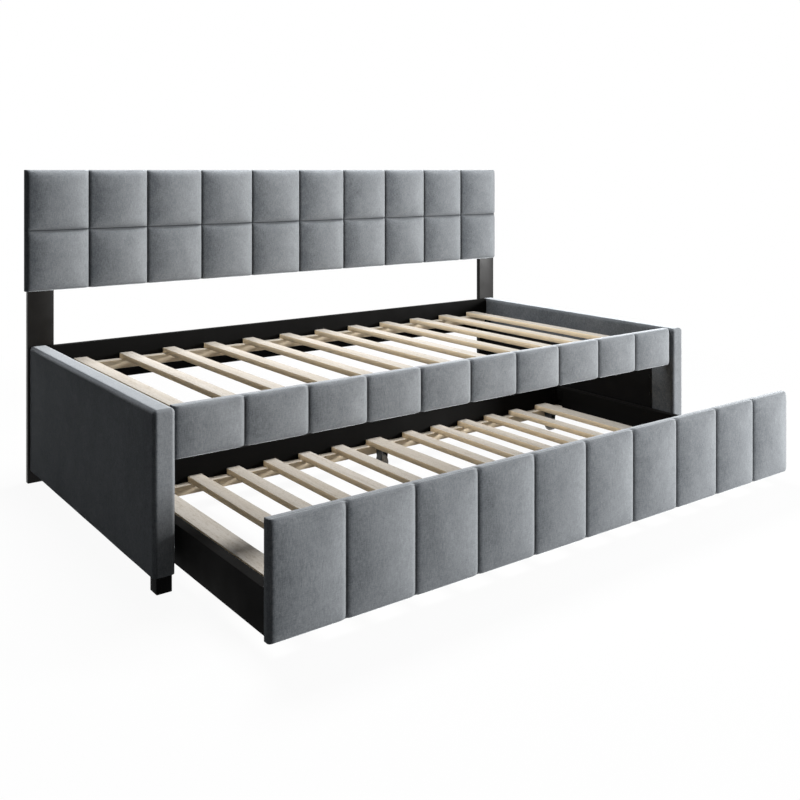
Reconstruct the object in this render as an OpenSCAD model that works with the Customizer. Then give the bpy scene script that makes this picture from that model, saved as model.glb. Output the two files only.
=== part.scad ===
// Trundle bed: an upholstered daybed with its headboard along the back, and a low bed on casters that
// pulls out from under the front rail. Millimetres, +Z up, X along the bed, the front towards -Y. The
// origin lies on the floor, at the middle of the box round the whole bed with the trundle pulled out as
// far as it is at rest.

/* [Daybed] */
// Length over the outer faces of the side panels
bed_l = 2040; // [1900:10:2200]
// Depth of a side panel, front to back
side_d = 1040; // [1000:10:1120]
// Height of the side panels' tops and of the rails' tops
side_top = 448; // [436:1:500]
// Thickness of an upholstered side panel
side_t = 60; // [46:1:66]
// Thickness of the board inside a side panel
side_board_t = 18; // [12:1:24]
// Thickness of the padding over the board's front and top edges
edge_foam = 12; // [6:1:18]
// Radius of the upholstered edges
side_edge_r = 12; // [4:1:16]
// Height of the front feet, which is the clear height under the side panels
foot_h = 43; // [30:1:60]
// Width of a square front foot
foot_w = 40; // [30:1:46]
// Distance of a foot from the side panel's outer face
foot_inset = 11; // [2:1:14]
// Distance of a foot behind the side panel's front face
foot_set_back = 6; // [2:1:14]
// Thickness of the black lining on a side panel's inner face
lining_t = 1.5; // [1:0.5:3]
// Width of the velvet strip left in front of the lining
velvet_return = 94; // [60:1:140]

/* [Rails and slats] */
// Height of the front rail and of the back rail
rail_h = 131; // [110:1:150]
// Thickness of the board inside the front rail
rail_board_t = 20; // [16:1:24]
// Thickness of the back rail
back_rail_t = 25; // [18:1:30]
// Thickness of the padding behind the channels' seams
pad_base = 10; // [6:1:14]
// Height that a channel stands proud of its seams
channel_puff = 9; // [5:1:14]
// Distance of the channels' faces behind the side panels' front faces
rail_recess = 3; // [0:1:8]
// Number of channels in the front rail and in the trundle front
channels = 10; // [6:1:14]
// Width of the groove at a seam
seam_w = 2; // [1:0.5:4]
// Thickness of the velvet wrapped round the boards' long edges
wrap_t = 4; // [2:1:6]
// Width of an ordinary slat
slat_w = 45; // [36:1:56]
// Thickness of every slat
slat_t = 18; // [14:1:22]
// Radius of the slats' eased long edges
slat_edge_r = 2; // [1:0.5:4]
// Distance of the slats' top faces below the rails' tops
slat_drop = 48; // [36:1:56]
// Distance from a side panel's inner face to the first slat
slat_end_gap = 75; // [62:1:90]
// Gap between a slat's end and the rail behind it
slat_gap = 2; // [1:0.5:3]
// Height of a daybed ledger
ledger_h = 30; // [24:1:34]
// Depth of a ledger
ledger_d = 30; // [24:1:36]
// Distance of a daybed ledger's end from the side panel's inner face
ledger_end_gap = 35; // [32:1:50]

/* [Headboard] */
// Height of the headboard's top above the floor
headboard_top = 1029; // [960:1:1100]
// Height of one row of pads
row_h = 200; // [160:1:220]
// Number of rows of pads
rows = 2; // [1:1:2]
// Number of columns of pads
columns = 10; // [6:1:14]
// Distance that the padding reaches past the posts' outer edges
side_wrap = 7; // [4:1:16]
// Distance of a post's outer edge outside the side panel's outer face
post_out = 6; // [0:1:12]
// Thickness of padding in front of the posts, at the pads' seams
headboard_base = 7; // [4:1:12]
// Height that a pad stands proud of its seams
pad_puff = 18; // [8:1:24]
// Thickness of the padding over the headboard's top edge
top_foam = 12; // [6:1:18]
// Thickness of the cloth on the headboard's back
cloth_t = 1; // [0.5:0.5:2]
// Distance of that cloth from the posts and from the board's long edges
cloth_margin = 60; // [56:1:80]
// Width of a post
post_w = 84; // [70:1:90]
// Thickness of a post and of the board between the posts
post_t = 20; // [16:1:26]

/* [Trundle] */
// Distance that the trundle stands pulled out at rest
trundle_out = 468; // [200:1:600]
// Gap between the trundle front's ends and the side panels
trundle_gap = 5; // [3:1:10]
// Height of the trundle front's lower edge above the floor
trundle_bottom = 47; // [40:1:56]
// Height of the trundle front
trundle_front_h = 259; // [230:1:264]
// Thickness of the board inside the trundle front
trundle_board_t = 15; // [12:1:20]
// Distance of the box's side rails in from the trundle front's ends
box_inset = 12; // [8:1:20]
// Thickness of the box's rails
box_rail_t = 28; // [20:1:32]
// Height of the box's rails
box_rail_h = 101; // [90:1:120]
// Gap behind the closed trundle, in front of the posts
box_back_gap = 8; // [4:1:30]
// Height of a trundle ledger
box_ledger_h = 28; // [26:1:30]
// Width of the three wide slats that carry the casters
wide_slat_w = 60; // [54:1:70]
// Distance from a side rail to the wide slat beside it
wide_slat_gap = 67; // [50:1:80]
// Pitch of the ordinary slats between the wide ones
trundle_pitch = 130; // [112:1:134]

/* [Casters] */
// Radius of a caster wheel
wheel_r = 25; // [20:0.5:27]
// Width of a caster wheel
wheel_w = 20; // [16:1:24]
// Radius of a wheel's axle
axle_r = 4; // [3:0.5:5]
// Radial running clearance of a wheel on its axle
axle_clearance = 0.05; // [0.03:0.01:0.1]
// Gap between a wheel and each cheek of its fork
cheek_gap = 1; // [0.5:0.25:2]
// Thickness of the fork's sheet steel
fork_t = 2.5; // [2:0.25:3]
// Width of a caster's plate, along the bed
plate_w = 50; // [44:1:52]
// Length of a caster's plate, front to back
plate_l = 46; // [42:1:52]
// Distance from the trundle's front ledger back to the front casters' plates
front_plate_gap = 26; // [4:1:40]
// Distance from the trundle's back ledger forward to the back casters' plates
back_plate_gap = 4; // [2:1:40]
// Distance of a plate's screws from its edges
plate_screw_inset = 7; // [6:1:9]
// Wall of the eye that a fork's cheek has round its axle
eye_wall = 6; // [4:0.5:8]
// Distance of a cheek's upper corners in from the plate's ends
cheek_inset = 4; // [2:0.5:8]
// Thickness of an axle's heads, and how far they stand out round it
axle_head = 2; // [1.5:0.25:2.5]
// Width of a wheel's rim, outside its dished sides
rim_w = 5; // [4:0.5:6]
// Wall of a wheel's hub
hub_wall = 4; // [3:0.5:5]
// Depth of a wheel's dished sides
dish_depth = 3; // [1:0.5:5]
// Bevel at a tread's edges
tread_bevel = 2; // [1:0.5:3]

/* [Fasteners] */
// Radius of a bolt's shank
bolt_r = 4; // [3:0.5:5]
// Radius of a bolt's flat head
bolt_head_r = 9; // [7:0.5:11]
// Thickness of a bolt's head
bolt_head_t = 2.5; // [2:0.5:4]
// Length of a bolt's shank past the post
bolt_reach = 45; // [30:1:60]
// Radius of a screw's shank
screw_r = 2; // [1.5:0.25:2.5]
// Radius of a screw's head
screw_head_r = 3.5; // [3:0.25:4.5]
// Thickness of a screw's head
screw_head_t = 1.2; // [1:0.1:2]
// Depth that a screw bites into the piece under it
screw_bite = 12; // [8:1:14]
// Radial clearance round every screw and bolt
hole_gap = 0.05; // [0.02:0.01:0.2]
// Thickness of the steel brackets and plates
steel_t = 3; // [2:0.5:4]
// Length of a bracket's legs
bracket_leg = 30; // [26:1:32]
// Height of a corner bracket under the upper slats
bracket_h = 50; // [40:1:60]
// Height of a corner bracket in the trundle's box
trundle_bracket_h = 40; // [34:1:44]
// Gap between the slats and the brackets under or over them
bracket_gap = 4; // [2:1:8]
// Distance of a bracket's screws from the leg's end
screw_inset = 12; // [9:1:14]
// Length of a plate that ties a post to the headboard's board
headboard_plate_l = 90; // [76:2:110]
// Height of that plate
headboard_plate_h = 30; // [20:1:40]
// Distance of that plate's middle from the board's long edges
plate_inset = 60; // [40:1:90]
// Height of the lowest frame bolt above the side board's lower edge
low_bolt_rise = 70; // [40:1:90]
// Distance of the middle frame bolt below the rails
middle_bolt_drop = 60; // [40:1:80]
// Distance of the top frame bolt below the side panel's top
top_bolt_drop = 40; // [30:1:60]

/* [Hidden] */

velvet = [0.47, 0.50, 0.53];
black_paint = [0.09, 0.09, 0.09];
black_cloth = [0.05, 0.05, 0.05];
pine = [0.80, 0.71, 0.57];
plywood = [0.72, 0.60, 0.44];
zinc = [0.70, 0.71, 0.72];
wheel_grey = [0.72, 0.73, 0.74];

slat_count = 12;
bay_slats = 5;
round_fn = 32;
pad_fn = 16;
wheel_fn = 64;
// Slope of a wheel's dished sides, at the rim and at the hub
draft = 1;
// Thickness of the thin layers that a pad is hulled from
skin = 0.2;
// Length that a cut runs past the piece it cuts
past = 1;
// A pad's outline, and how far its middle layer and its crown lie in and out, as shares of its puff
pad_corner_r = 20;
pad_middle = [0.35, 0.6];
pad_crown = [1.5, 1];

// Daybed, with Y counted back from the side panels' front faces
half_l = bed_l / 2;
inner_x = half_l - side_t;
back_y = side_d + post_t;
rail_z = side_top - rail_h;
rail_seam_y = rail_recess + channel_puff;
rail_board_y = rail_seam_y + pad_base;
rail_back_y = rail_board_y + rail_board_t;
back_rail_y = side_d - back_rail_t;
slat_top = side_top - slat_drop;
slat_z = slat_top - slat_t;
ledger_z = slat_z - ledger_h;
slat_y = rail_back_y + slat_gap;
slat_l = back_rail_y - slat_gap - slat_y;
slat_x0 = inner_x - slat_end_gap - slat_w / 2;
slat_pitch = 2 * slat_x0 / (slat_count - 1);
board_y = edge_foam;
board_z = foot_h + wrap_t;
board_x = half_l - side_t / 2;
post_x1 = half_l + post_out;
post_x0 = post_x1 - post_w;
headboard_x = post_x1 + side_wrap;
headboard_z = headboard_top - rows * row_h;
headboard_seam_y = side_d - headboard_base;
headboard_board_z = headboard_z + wrap_t;
headboard_board_top = headboard_top - top_foam;

// Trundle, with Y counted back from the same faces when it is closed
front_x = inner_x - trundle_gap;
front_top = trundle_bottom + trundle_front_h;
front_board_y = rail_seam_y + pad_base;
box_y0 = front_board_y + trundle_board_t;
box_y1 = side_d - box_back_gap;
box_x1 = front_x - box_inset;
box_x0 = box_x1 - box_rail_t;
box_z = trundle_bottom - 1;
box_back_y = box_y1 - box_rail_t;
box_slat_z = box_z + box_ledger_h;
box_slat_y = box_y0 + slat_gap;
box_slat_l = box_back_y - slat_gap - box_slat_y;
wide_x = box_x0 - wide_slat_gap - wide_slat_w / 2;
plate_front_y = box_y0 + ledger_d + front_plate_gap + plate_l / 2;
plate_back_y = box_back_y - ledger_d - back_plate_gap - plate_l / 2;
cheek_x = wheel_w / 2 + cheek_gap;

// The bed's front faces lie here, so that the origin is at the middle of the whole box
y_first = rail_recess - trundle_out;
y_last = back_y + max(bolt_head_t, steel_t + screw_head_t);
front_y = -(y_first + y_last) / 2;

// Fastener places
bolt_z = [board_z + low_bolt_rise, rail_z - middle_bolt_drop, side_top - top_bolt_drop];
plate_z = [headboard_board_z + plate_inset, headboard_board_top - plate_inset];
plate_screw_x = [headboard_plate_l / 8, headboard_plate_l * 3 / 8];
bracket_z = slat_z - bracket_h - bracket_gap;
bracket_screw_z = [bracket_h / 4, bracket_h * 3 / 4];
bracket_screw_out = bracket_leg - screw_inset;
trundle_bracket_z = box_slat_z + slat_t + bracket_gap;
caster_screw_x = plate_w / 2 - plate_screw_inset;
caster_screw_y = plate_l / 2 - plate_screw_inset;
ledger_screw_y = ledger_d / 2 - slat_gap;

module at_bed() {
    translate([0, front_y, 0]) children();
}

module at_trundle() {
    translate([0, front_y - trundle_out, 0]) children();
}

module right_side() {
    mirror([1, 0, 0]) children();
}

module both_sides() {
    children();
    mirror([1, 0, 0]) children();
}

// A box from its lowest corner, by its two corners' coordinates
module block(x0, x1, y0, y1, z0, z1) {
    translate([x0, y0, z0]) cube([x1 - x0, y1 - y0, z1 - z0]);
}

module rounded_rect(w, h, r, fn = round_fn) {
    translate([r, 0]) square([w - 2 * r, h]);
    translate([0, r]) square([w, h - 2 * r]);
    for (x = [r, w - r], y = [r, h - r]) translate([x, y]) circle(r = r, $fn = fn);
}

// A box with every edge rounded, made of three crossed bars
module soft_box(size, r) {
    intersection() {
        linear_extrude(size.z) rounded_rect(size.x, size.y, r);
        translate([0, size.y, 0]) rotate([90, 0, 0]) linear_extrude(size.y) rounded_rect(size.x, size.z, r);
        rotate([90, 0, 90]) linear_extrude(size.x) rounded_rect(size.y, size.z, r);
    }
}

// One layer of a pad, standing upright and centred on X
module pad_layer(w, h, inset, out) {
    layer_w = w - 2 * inset;
    layer_h = h - 2 * inset;
    translate([-layer_w / 2, skin - out, inset])
        rotate([90, 0, 0]) linear_extrude(skin) rounded_rect(layer_w, layer_h, pad_corner_r, pad_fn);
}

// A crowned pad that swells towards -Y from the plane Y = 0
module pad(w, h, puff) {
    hull() {
        pad_layer(w, h, 0, 0);
        pad_layer(w, h, puff * pad_middle[0], puff * pad_middle[1]);
        pad_layer(w, h, puff * pad_crown[0], puff * pad_crown[1]);
    }
}

// A row of pads that fills the length 2 * half_w, all of one height
module pad_row(half_w, h, puff, count) {
    pitch = 2 * half_w / count;
    for (i = [0 : count - 1])
        translate([(i + 0.5) * pitch - half_w, 0, 0]) pad(pitch - seam_w, h, puff);
}

// A screw driven along +Z, its head's top at Z = 0 and its tip below
module screw(reach, gap = 0) {
    translate([0, 0, -screw_head_t - gap])
        cylinder(r = screw_head_r + gap, h = screw_head_t + gap * 2, $fn = round_fn);
    translate([0, 0, -reach - gap]) cylinder(r = screw_r + gap, h = reach, $fn = round_fn);
}

// Upper slats

function slat_x(i) = (i - 1) * slat_pitch - slat_x0;

slat_reach = slat_t + screw_bite;
slat_screw_ys = [slat_y + ledger_screw_y, slat_y + slat_l - ledger_screw_y];

module slat_bar(w, l) {
    translate([-w / 2, l, 0]) rotate([90, 0, 0]) linear_extrude(l) rounded_rect(w, slat_t, slat_edge_r);
}

module slat_screws(gap = 0) {
    for (i = [1 : slat_count], y = slat_screw_ys)
        translate([slat_x(i), y, slat_top]) screw(slat_reach, gap);
}

module slat(i) {
    color(pine) at_bed() difference() {
        translate([slat_x(i), slat_y, slat_z]) slat_bar(slat_w, slat_l);
        for (y = slat_screw_ys) translate([slat_x(i), y, slat_top]) screw(slat_reach, hole_gap);
    }
}

// Daybed

module headboard_plate_screws(gap = 0) {
    both_sides()
        for (z = plate_z, x = plate_screw_x, side = [-1, 1])
            translate([side * x - post_x0, back_y + steel_t + screw_head_t, z])
                rotate([-90, 0, 0]) screw(steel_t + screw_head_t + screw_bite, gap);
}

module frame_bolt_set(gap = 0) {
    both_sides()
        for (z = bolt_z)
            translate([-board_x, 0, z]) rotate([-90, 0, 0]) {
                translate([0, 0, side_d - bolt_reach - gap])
                    cylinder(r = bolt_r + gap, h = bolt_reach + post_t + gap, $fn = round_fn);
                translate([0, 0, back_y]) cylinder(r = bolt_head_r, h = bolt_head_t, $fn = round_fn);
            }
}

module bracket_screws(gap = 0) {
    both_sides()
        for (z = bracket_screw_z) {
            translate([-inner_x + bracket_screw_out, rail_back_y + steel_t + screw_head_t, bracket_z + z])
                rotate([-90, 0, 0]) screw(steel_t + screw_head_t + screw_bite, gap);
            translate([-inner_x + bracket_screw_out, back_rail_y - steel_t - screw_head_t, bracket_z + z])
                rotate([90, 0, 0]) screw(steel_t + screw_head_t + screw_bite, gap);
            for (y = [rail_back_y + bracket_screw_out, back_rail_y - bracket_screw_out])
                translate([-inner_x + steel_t + screw_head_t, y, bracket_z + z])
                    rotate([0, 90, 0]) screw(steel_t + screw_head_t + screw_bite, gap);
        }
}

module headboard_board() {
    color(black_paint) at_bed() difference() {
        block(-post_x0, post_x0, side_d, back_y, headboard_board_z, headboard_board_top);
        headboard_plate_screws(hole_gap);
    }
}

module headboard_padding() {
    color(velvet) at_bed() difference() {
        union() {
            block(-headboard_x, headboard_x, headboard_seam_y, back_y, headboard_z, headboard_top);
            for (row = [0 : rows - 1])
                translate([0, headboard_seam_y, headboard_z + row * row_h + seam_w / 2])
                    pad_row(headboard_x, row_h - seam_w, pad_puff, columns);
        }
        block(-post_x1, post_x1, side_d, back_y + past, headboard_board_z, headboard_board_top);
        both_sides()
            block(-post_x1, -post_x0, side_d, back_y + past, headboard_z - past, headboard_board_top);
    }
}

module headboard_back_cloth() {
    cloth_x = post_x0 - cloth_margin;
    color(black_cloth) at_bed()
        block(-cloth_x, cloth_x, back_y, back_y + cloth_t,
              headboard_board_z + wrap_t, headboard_board_top - wrap_t);
}

module headboard_plates() {
    color(black_paint) at_bed() difference() {
        both_sides()
            for (z = plate_z)
                block(-post_x0 - headboard_plate_l / 2, -post_x0 + headboard_plate_l / 2,
                      back_y, back_y + steel_t, z - headboard_plate_h / 2, z + headboard_plate_h / 2);
        headboard_plate_screws(hole_gap);
    }
}

module post() {
    color(black_paint) at_bed() difference() {
        block(-post_x1, -post_x0, side_d, back_y, 0, headboard_board_top);
        frame_bolt_set(hole_gap);
        headboard_plate_screws(hole_gap);
    }
}

module side_board() {
    color(plywood) at_bed() difference() {
        block(-board_x - side_board_t / 2, -board_x + side_board_t / 2,
              board_y, side_d, board_z, side_top - edge_foam);
        frame_bolt_set(hole_gap);
    }
}

module side_cover() {
    color(velvet) at_bed() difference() {
        intersection() {
            translate([-half_l, 0, foot_h])
                soft_box([side_t, side_d + side_edge_r, side_top - foot_h], side_edge_r);
            block(-half_l, -inner_x, 0, side_d, foot_h, side_top);
        }
        block(-board_x - side_board_t / 2, -board_x + side_board_t / 2,
              board_y, side_d + past, board_z, side_top - edge_foam);
        bracket_screws(hole_gap);
    }
}

module side_lining() {
    color(black_cloth) at_bed()
        block(-inner_x, -inner_x + lining_t, velvet_return, side_d,
              foot_h + side_edge_r, rail_z - wrap_t);
}

module front_foot() {
    color(black_paint) at_bed()
        translate([foot_inset - half_l, foot_set_back, 0]) cube([foot_w, foot_w, foot_h]);
}

module front_rail_board() {
    color(plywood) at_bed() difference() {
        block(-inner_x, inner_x, rail_board_y, rail_back_y, rail_z + wrap_t, side_top - wrap_t);
        bracket_screws(hole_gap);
    }
}

module front_rail_padding() {
    color(velvet) at_bed() difference() {
        union() {
            block(-inner_x, inner_x, rail_seam_y, rail_back_y, rail_z, side_top);
            translate([0, rail_seam_y, rail_z]) pad_row(inner_x, rail_h, channel_puff, channels);
        }
        block(-inner_x - past, inner_x + past, rail_board_y, rail_back_y + past,
              rail_z + wrap_t, side_top - wrap_t);
    }
}

module back_rail() {
    color(black_paint) at_bed() difference() {
        block(-inner_x, inner_x, back_rail_y, side_d, rail_z, side_top);
        bracket_screws(hole_gap);
    }
}

module daybed_ledger(y0) {
    ledger_x = inner_x - ledger_end_gap;
    color(pine) at_bed() difference() {
        block(-ledger_x, ledger_x, y0, y0 + ledger_d, ledger_z, slat_z);
        slat_screws(hole_gap);
    }
}

module front_ledger() {
    daybed_ledger(rail_back_y);
}

module back_ledger() {
    daybed_ledger(back_rail_y - ledger_d);
}

// Angle brackets in the four corners, between the side panels and the two rails
module corner_brackets() {
    top = bracket_z + bracket_h;
    color(black_paint) at_bed() difference() {
        both_sides() {
            block(-inner_x, -inner_x + bracket_leg, rail_back_y, rail_back_y + steel_t, bracket_z, top);
            block(-inner_x, -inner_x + steel_t, rail_back_y, rail_back_y + bracket_leg, bracket_z, top);
            block(-inner_x, -inner_x + bracket_leg, back_rail_y - steel_t, back_rail_y, bracket_z, top);
            block(-inner_x, -inner_x + steel_t, back_rail_y - bracket_leg, back_rail_y, bracket_z, top);
        }
        bracket_screws(hole_gap);
    }
}

module frame_bolts() {
    color(zinc) at_bed() frame_bolt_set();
}

module frame_screws() {
    color(zinc) at_bed() {
        slat_screws();
        bracket_screws();
        headboard_plate_screws();
    }
}

// Trundle

wide_xs = [-wide_x, 0, wide_x];
box_screw_ys = [box_slat_y + ledger_screw_y, box_slat_y + box_slat_l - ledger_screw_y];
caster_ys = [plate_back_y, plate_front_y];

function bay_x(i) = wide_x / 2 + (i - (bay_slats - 1) / 2) * trundle_pitch;

module box_slat_screws(gap = 0) {
    for (y = box_screw_ys) {
        both_sides() for (i = [0 : bay_slats - 1])
            translate([-bay_x(i), y, box_slat_z + slat_t]) screw(slat_reach, gap);
        for (x = wide_xs) translate([x, y, box_slat_z + slat_t]) screw(slat_reach, gap);
    }
}

module caster_screws(gap = 0) {
    for (x = wide_xs, y = caster_ys, side = [-1, 1], end = [-1, 1])
        translate([x + side * caster_screw_x, y + end * caster_screw_y, box_slat_z - fork_t - screw_head_t])
            rotate([180, 0, 0]) screw(fork_t + screw_head_t + screw_bite, gap);
}

module trundle_bracket_screws(gap = 0) {
    both_sides()
        for (z = [trundle_bracket_h / 4, trundle_bracket_h * 3 / 4]) {
            translate([bracket_screw_out - box_x0, box_y0 + steel_t + screw_head_t, trundle_bracket_z + z])
                rotate([-90, 0, 0]) screw(steel_t + screw_head_t + screw_bite, gap);
            for (y = [box_y0 + bracket_screw_out, box_back_y - bracket_screw_out])
                translate([-box_x0 + steel_t + screw_head_t, y, trundle_bracket_z + z])
                    rotate([0, 90, 0]) screw(steel_t + screw_head_t + screw_bite, gap);
            translate([bracket_screw_out - box_x0, box_back_y - steel_t - screw_head_t,
                       trundle_bracket_z + z])
                rotate([90, 0, 0]) screw(steel_t + screw_head_t + screw_bite, gap);
        }
}

module trundle_front_board() {
    color(plywood) at_trundle() difference() {
        block(wrap_t - front_x, front_x - wrap_t, front_board_y, box_y0,
              trundle_bottom + wrap_t, front_top - wrap_t);
        trundle_bracket_screws(hole_gap);
    }
}

module trundle_front_padding() {
    color(velvet) at_trundle() difference() {
        union() {
            block(-front_x, front_x, rail_seam_y, box_y0, trundle_bottom, front_top);
            translate([0, rail_seam_y, trundle_bottom])
                pad_row(front_x, trundle_front_h, channel_puff, channels);
        }
        block(-front_x + wrap_t, front_x - wrap_t, front_board_y, box_y0 + past,
              trundle_bottom + wrap_t, front_top - wrap_t);
    }
}

module trundle_side_rail() {
    color(black_paint) at_trundle() difference() {
        block(-box_x1, -box_x0, box_y0, box_y1, box_z, box_z + box_rail_h);
        trundle_bracket_screws(hole_gap);
    }
}

module trundle_back_rail() {
    color(black_paint) at_trundle() difference() {
        block(-box_x0, box_x0, box_back_y, box_y1, box_z, box_z + box_rail_h);
        trundle_bracket_screws(hole_gap);
    }
}

module trundle_ledger(y0) {
    color(pine) at_trundle() difference() {
        block(-box_x0, box_x0, y0, y0 + ledger_d, box_z, box_slat_z);
        box_slat_screws(hole_gap);
    }
}

module trundle_front_ledger() {
    trundle_ledger(box_y0);
}

module trundle_back_ledger() {
    trundle_ledger(box_back_y - ledger_d);
}

module trundle_slats() {
    color(pine) at_trundle() difference() {
        for (i = [0 : bay_slats - 1])
            translate([-bay_x(i), box_slat_y, box_slat_z]) slat_bar(slat_w, box_slat_l);
        box_slat_screws(hole_gap);
    }
}

module wide_slat(i) {
    color(pine) at_trundle() difference() {
        translate([wide_xs[i], box_slat_y, box_slat_z]) slat_bar(wide_slat_w, box_slat_l);
        box_slat_screws(hole_gap);
        caster_screws(hole_gap);
    }
}

module trundle_brackets() {
    z0 = trundle_bracket_z;
    z1 = z0 + trundle_bracket_h;
    color(black_paint) at_trundle() difference() {
        both_sides() {
            block(-box_x0, -box_x0 + bracket_leg, box_y0, box_y0 + steel_t, z0, z1);
            block(-box_x0, -box_x0 + steel_t, box_y0, box_y0 + bracket_leg, z0, z1);
            block(-box_x0, -box_x0 + bracket_leg, box_back_y - steel_t, box_back_y, z0, z1);
            block(-box_x0, -box_x0 + steel_t, box_back_y - bracket_leg, box_back_y, z0, z1);
        }
        trundle_bracket_screws(hole_gap);
    }
}

module trundle_screws() {
    color(zinc) at_trundle() {
        box_slat_screws();
        caster_screws();
        trundle_bracket_screws();
    }
}

// Casters, each on the floor at X = 0, Y = 0

module at_casters() {
    at_trundle() for (x = wide_xs, y = caster_ys) translate([x, y, 0]) children();
}

// A fork cheek's outline, drawn in Y and Z: broad under the plate, round about the axle
module cheek_outline() {
    eye_r = axle_r + eye_wall;
    shoulder = plate_l / 2 - cheek_inset;
    top = box_slat_z - fork_t / 2;
    translate([0, wheel_r]) circle(r = eye_r, $fn = round_fn);
    polygon([[-eye_r, wheel_r], [eye_r, wheel_r], [shoulder, top], [-shoulder, top]]);
}

module caster_forks() {
    color(black_paint) difference() {
        at_casters() difference() {
            union() {
                block(-plate_w / 2, plate_w / 2, -plate_l / 2, plate_l / 2,
                      box_slat_z - fork_t, box_slat_z);
                for (x = [-cheek_x - fork_t, cheek_x])
                    translate([x, 0, 0]) rotate([90, 0, 90]) linear_extrude(fork_t) cheek_outline();
            }
            translate([-plate_w / 2, 0, wheel_r]) rotate([0, 90, 0])
                cylinder(r = axle_r + hole_gap, h = plate_w, $fn = round_fn);
        }
        at_trundle() caster_screws(hole_gap);
    }
}

module caster_axles() {
    axle_l = 2 * (cheek_x + fork_t);
    color(zinc) at_casters() translate([-axle_l / 2, 0, wheel_r]) rotate([0, 90, 0]) {
        cylinder(r = axle_r, h = axle_l, $fn = round_fn);
        for (z = [-axle_head, axle_l])
            translate([0, 0, z]) cylinder(r = axle_r + axle_head, h = axle_head, $fn = round_fn);
    }
}

// A moulded wheel turned about its axle: a rounded tread, dished sides and a raised hub
module wheel(i, j) {
    rim = wheel_r - rim_w;
    hub = axle_r + hub_wall;
    tread = wheel_r - tread_bevel;
    half_w = wheel_w / 2;
    tread_w = half_w - tread_bevel;
    dish = half_w - dish_depth;
    color(wheel_grey) at_trundle() translate([wide_xs[i], caster_ys[j], wheel_r]) rotate([0, 90, 0])
        difference() {
            rotate_extrude($fn = wheel_fn) polygon([
                [0, -half_w], [hub, -half_w], [hub + draft, -dish], [rim - draft, -dish], [rim, -half_w],
                [tread, -half_w], [wheel_r, -tread_w], [wheel_r, tread_w], [tread, half_w],
                [rim, half_w], [rim - draft, dish], [hub + draft, dish], [hub, half_w], [0, half_w]
            ]);
            translate([0, 0, -wheel_w])
                cylinder(r = axle_r + axle_clearance, h = 2 * wheel_w, $fn = round_fn);
        }
}

headboard_board();
headboard_padding();
headboard_back_cloth();
headboard_plates();
post();  // post_left
right_side() post();  // post_right
side_board();  // side_board_left
right_side() side_board();  // side_board_right
side_cover();  // side_cover_left
right_side() side_cover();  // side_cover_right
side_lining();  // side_lining_left
right_side() side_lining();  // side_lining_right
front_foot();  // front_foot_left
right_side() front_foot();  // front_foot_right
front_rail_board();
front_rail_padding();
back_rail();
front_ledger();
back_ledger();
slat(1);  // slat_01
slat(2);  // slat_02
slat(3);  // slat_03
slat(4);  // slat_04
slat(5);  // slat_05
slat(6);  // slat_06
slat(7);  // slat_07
slat(8);  // slat_08
slat(9);  // slat_09
slat(10);  // slat_10
slat(11);  // slat_11
slat(12);  // slat_12
corner_brackets();
frame_bolts();
frame_screws();
trundle_front_board();
trundle_front_padding();
trundle_side_rail();  // trundle_rail_left
right_side() trundle_side_rail();  // trundle_rail_right
trundle_back_rail();
trundle_front_ledger();
trundle_back_ledger();
trundle_slats();  // trundle_slats_left
right_side() trundle_slats();  // trundle_slats_right
wide_slat(0);  // wide_slat_left
wide_slat(1);  // wide_slat_middle
wide_slat(2);  // wide_slat_right
trundle_brackets();
trundle_screws();
caster_forks();
caster_axles();
wheel(0, 0);  // wheel_back_left
wheel(1, 0);  // wheel_back_middle
wheel(2, 0);  // wheel_back_right
wheel(0, 1);  // wheel_front_left
wheel(1, 1);  // wheel_front_middle
wheel(2, 1);  // wheel_front_right
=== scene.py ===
import math

import bmesh
import bpy
import numpy as np
from mathutils import Matrix, Vector


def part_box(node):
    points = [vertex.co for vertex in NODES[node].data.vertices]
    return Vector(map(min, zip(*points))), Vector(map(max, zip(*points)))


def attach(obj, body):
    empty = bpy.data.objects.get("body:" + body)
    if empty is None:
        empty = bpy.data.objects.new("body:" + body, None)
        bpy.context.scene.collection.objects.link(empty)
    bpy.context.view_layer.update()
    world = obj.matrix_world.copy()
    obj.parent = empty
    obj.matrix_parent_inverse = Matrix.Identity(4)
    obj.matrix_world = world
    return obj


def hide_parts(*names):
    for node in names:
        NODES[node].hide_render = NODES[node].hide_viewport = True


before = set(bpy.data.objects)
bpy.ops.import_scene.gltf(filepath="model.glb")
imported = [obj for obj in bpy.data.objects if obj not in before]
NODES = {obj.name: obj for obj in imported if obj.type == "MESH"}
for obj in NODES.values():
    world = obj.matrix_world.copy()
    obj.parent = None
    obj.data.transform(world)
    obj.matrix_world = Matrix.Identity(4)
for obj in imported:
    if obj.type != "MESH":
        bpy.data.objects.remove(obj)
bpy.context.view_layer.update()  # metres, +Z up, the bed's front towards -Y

SCENE = bpy.context.scene
MM = 0.001

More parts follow.
